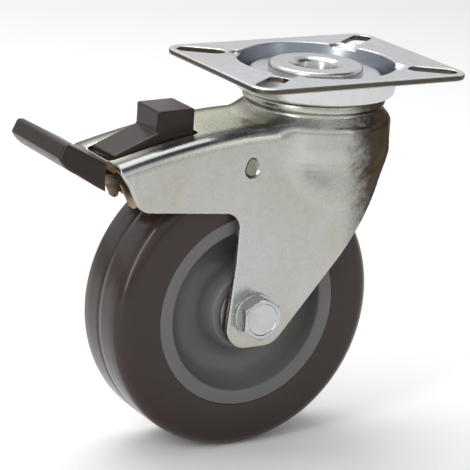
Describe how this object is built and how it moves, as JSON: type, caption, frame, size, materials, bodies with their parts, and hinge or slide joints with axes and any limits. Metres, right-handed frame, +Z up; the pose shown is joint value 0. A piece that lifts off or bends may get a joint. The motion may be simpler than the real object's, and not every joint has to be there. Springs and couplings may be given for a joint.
{
  "type": "braked swivel castor",
  "caption": "Plate-mounted swivel castor for a gate, with a braked polyurethane wheel and a foot lever that locks wheel and swivel.",
  "frame": {"origin": "centre of the top plate's upper face, on the swivel axis", "axes": "+Z up out of the plate, +X the way the castor travels so that the wheel trails towards -X, Y along the axle"},
  "size_m": [0.1851, 0.085, 0.1665],
  "materials": {
    "zinc_plate": "zinc-plated pressed steel, satin",
    "zinc_fork": "zinc-plated pressed steel, satin",
    "bright_steel": "plated steel, smooth",
    "bearing_steel": "polished bearing steel",
    "shield": "pressed steel, satin",
    "tyre": "dark brown-black polyurethane, glossy",
    "wheel_plastic": "grey nylon, satin",
    "passivated": "yellow-passivated steel",
    "black_plastic": "black moulded plastic, satin"
  },
  "bodies": {
    "head": {"top_plate": "zinc_plate", "kingpin": "bright_steel", "lower_race": "zinc_fork", "lock_ring": "zinc_fork"},
    "fork_body": {"fork_top": "zinc_fork", "fork_right": "zinc_fork", "fork_left": "zinc_fork", "upper_balls": "bearing_steel", "lower_balls": "bearing_steel", "axle_bolt": "bright_steel", "axle_nut": "bright_steel", "washers": "bright_steel", "axle_tube": "bright_steel", "bearing_inner_rings": "bearing_steel", "leaf_pin": "bright_steel", "lever_pin": "bright_steel"},
    "wheel_body": {"tyre": "tyre", "wheel_centre": "wheel_plastic", "bearing_outer_rings": "bearing_steel", "bearing_balls": "bearing_steel", "bearing_shields": "shield"},
    "lever_body": {"brake_lever": "passivated", "foot_pedal": "black_plastic", "release_block": "black_plastic", "lever_rivets": "bright_steel"},
    "leaf_body": {"brake_leaf": "passivated", "brake_shoe": "zinc_fork", "shoe_rivets": "bright_steel"}
  },
  "joints": [
    {"name": "swivel", "type": "hinge", "parent": "head", "child": "fork_body", "pos_m": [0, 0, -0.015], "axis": [0, 0, 1], "continuous": true},
    {"name": "wheel_spin", "type": "hinge", "parent": "fork_body", "child": "wheel_body", "pos_m": [-0.037, 0, -0.104], "axis": [0, 1, 0], "continuous": true},
    {"name": "foot_lever", "type": "hinge", "parent": "fork_body", "child": "lever_body", "pos_m": [-0.09, 0, -0.039], "axis": [0, -1, 0], "range_deg": [0, 18]},
    {"name": "leaf_swing", "type": "hinge", "parent": "fork_body", "child": "leaf_body", "pos_m": [-0.0415, 0, -0.036], "axis": [0, -1, 0], "range_deg": [0, 4]}
  ],
  "couplings": [
    {"joint": "leaf_swing", "follows": "foot_lever", "ratio": 0.22222}
  ]
}
